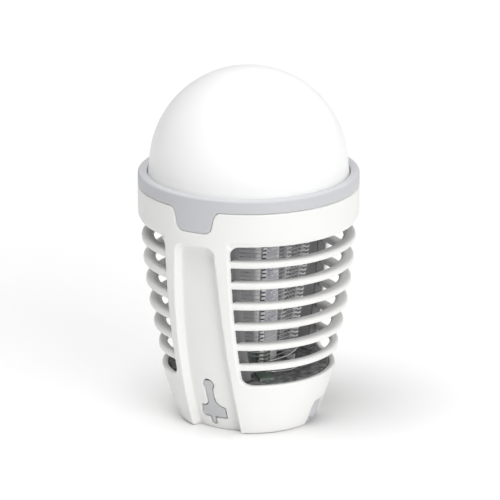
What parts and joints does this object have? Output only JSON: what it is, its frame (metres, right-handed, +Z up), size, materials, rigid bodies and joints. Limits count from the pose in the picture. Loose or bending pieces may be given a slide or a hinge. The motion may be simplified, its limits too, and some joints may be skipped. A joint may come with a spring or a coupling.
{
  "type": "electric bug zapper lantern",
  "caption": "Portable insect zapper with an opal lantern dome on a tapered slatted cage; the lamp and grid module lifts out after its release pads are pressed.",
  "frame": {"origin": "centre of the circle that the cage's lower rim stands on", "axes": "+Z up through the dome; the grip columns at -Y and +Y, the slatted windows at -X and +X"},
  "size_m": [0.086, 0.086, 0.14],
  "materials": {
    "shell_white": "satin moulded, warm white",
    "trim_grey": "satin moulded, light lavender grey",
    "dome_opal": "opal, translucent, smooth",
    "inner_grey": "fine matt moulding",
    "frame_grey": "fine matt moulding",
    "strut_grey": "fine matt moulding",
    "comb_white": "fine matt moulding",
    "circuit_green": "solder-masked board",
    "board_white": "white solder mask",
    "lamp_yellow": "phosphor-filled lamp",
    "lamp_violet": "clear lamp over a pale chip",
    "grid_wire": "drawn wire",
    "fastener": "zinc plated",
    "nickel": "nickel plated",
    "battery_wrap": "shrink sleeve",
    "transformer_tape": "polyester tape",
    "capacitor_red": "dipped epoxy",
    "switch_black": "matt",
    "cable_grey": "insulated leads",
    "rubber_grey": "soft matt rubber",
    "key_grey": "soft matt rubber"
  },
  "bodies": {
    "cage": {"cage_shell": "shell_white", "guard_slat_1": "shell_white", "guard_slat_2": "shell_white", "guard_slat_3": "shell_white", "guard_slat_4": "shell_white", "guard_slat_5": "shell_white", "guard_slat_6": "shell_white"},
    "lamp_module": {"trim_ring": "trim_grey", "base_cup": "trim_grey", "dome_diffuser": "dome_opal", "dome_seal": "key_grey", "head_frame": "inner_grey", "grid_top_plate": "inner_grey", "base_deck": "frame_grey", "grid_foot_ring": "strut_grey", "side_strut_front": "strut_grey", "side_strut_rear": "strut_grey", "reflector_disc": "board_white", "lantern_board": "board_white", "uv_board_right": "board_white", "uv_board_left": "board_white", "lantern_leds": "lamp_yellow", "board_screws": "fastener", "base_screws": "fastener", "battery_cell": "battery_wrap", "battery_tabs": "nickel", "usb_socket": "nickel", "wire_loom": "cable_grey", "terminal_board": "circuit_green", "main_board": "circuit_green", "uv_leds_right": "lamp_violet", "uv_leds_left": "lamp_violet", "core_post": "comb_white", "comb_post_1": "comb_white", "comb_post_2": "comb_white", "comb_post_3": "comb_white", "comb_post_4": "comb_white", "comb_post_5": "comb_white", "comb_post_6": "comb_white", "live_grid": "grid_wire", "earth_grid": "grid_wire", "grid_leads": "grid_wire", "button_switches": "switch_black", "hv_transformer": "transformer_tape", "hv_capacitor": "capacitor_red"},
    "release_front": {"release_pad_front": "trim_grey"},
    "release_rear": {"release_pad_rear": "trim_grey"},
    "tongue_front": {"snap_tongue_front": "trim_grey"},
    "tongue_rear": {"snap_tongue_rear": "trim_grey"},
    "port_flap": {"port_cover": "rubber_grey"},
    "lantern_key": {"lantern_button": "key_grey"},
    "zapper_key": {"zapper_button": "key_grey"},
    "hook": {"hanging_hook": "nickel"}
  },
  "joints": [
    {"name": "module_lift", "type": "slide", "parent": "cage", "child": "lamp_module", "axis": [0, 0, 1], "range_m": [0, 0.095]},
    {"name": "release_front_press", "type": "hinge", "parent": "cage", "child": "release_front", "pos_m": [0, -0.02341, 0.0064], "axis": [-1, 0, 0], "range_deg": [0, 3], "stiffness_Nm_per_rad": 0.12},
    {"name": "release_rear_press", "type": "hinge", "parent": "cage", "child": "release_rear", "pos_m": [0, 0.02341, 0.0064], "axis": [1, 0, 0], "range_deg": [0, 3], "stiffness_Nm_per_rad": 0.12},
    {"name": "tongue_front_flex", "type": "hinge", "parent": "lamp_module", "child": "tongue_front", "pos_m": [0, -0.02124, 0.0059], "axis": [-1, 0, 0], "range_deg": [0, 3], "stiffness_Nm_per_rad": 0.12},
    {"name": "tongue_rear_flex", "type": "hinge", "parent": "lamp_module", "child": "tongue_rear", "pos_m": [0, 0.02124, 0.0059], "axis": [1, 0, 0], "range_deg": [0, 3], "stiffness_Nm_per_rad": 0.12},
    {"name": "port_cover_open", "type": "hinge", "parent": "lamp_module", "child": "port_flap", "pos_m": [0.02602, 0.00553, 0.0023], "axis": [-0.2079, 0.9781, 0], "range_deg": [0, 95]},
    {"name": "lantern_button_press", "type": "slide", "parent": "lamp_module", "child": "lantern_key", "axis": [0, 0, 1], "range_m": [0, 0.0005], "stiffness_N_per_m": 800},
    {"name": "zapper_button_press", "type": "slide", "parent": "lamp_module", "child": "zapper_key", "axis": [0, 0, 1], "range_m": [0, 0.0005], "stiffness_N_per_m": 800},
    {"name": "hook_swing", "type": "hinge", "parent": "lamp_module", "child": "hook", "pos_m": [0, 0.011, 0.0023], "axis": [1, 0, 0], "range_deg": [0, 90]}
  ],
  "couplings": [
    {"joint": "tongue_front_flex", "follows": "release_front_press", "ratio": 1},
    {"joint": "tongue_rear_flex", "follows": "release_rear_press", "ratio": 1}
  ]
}
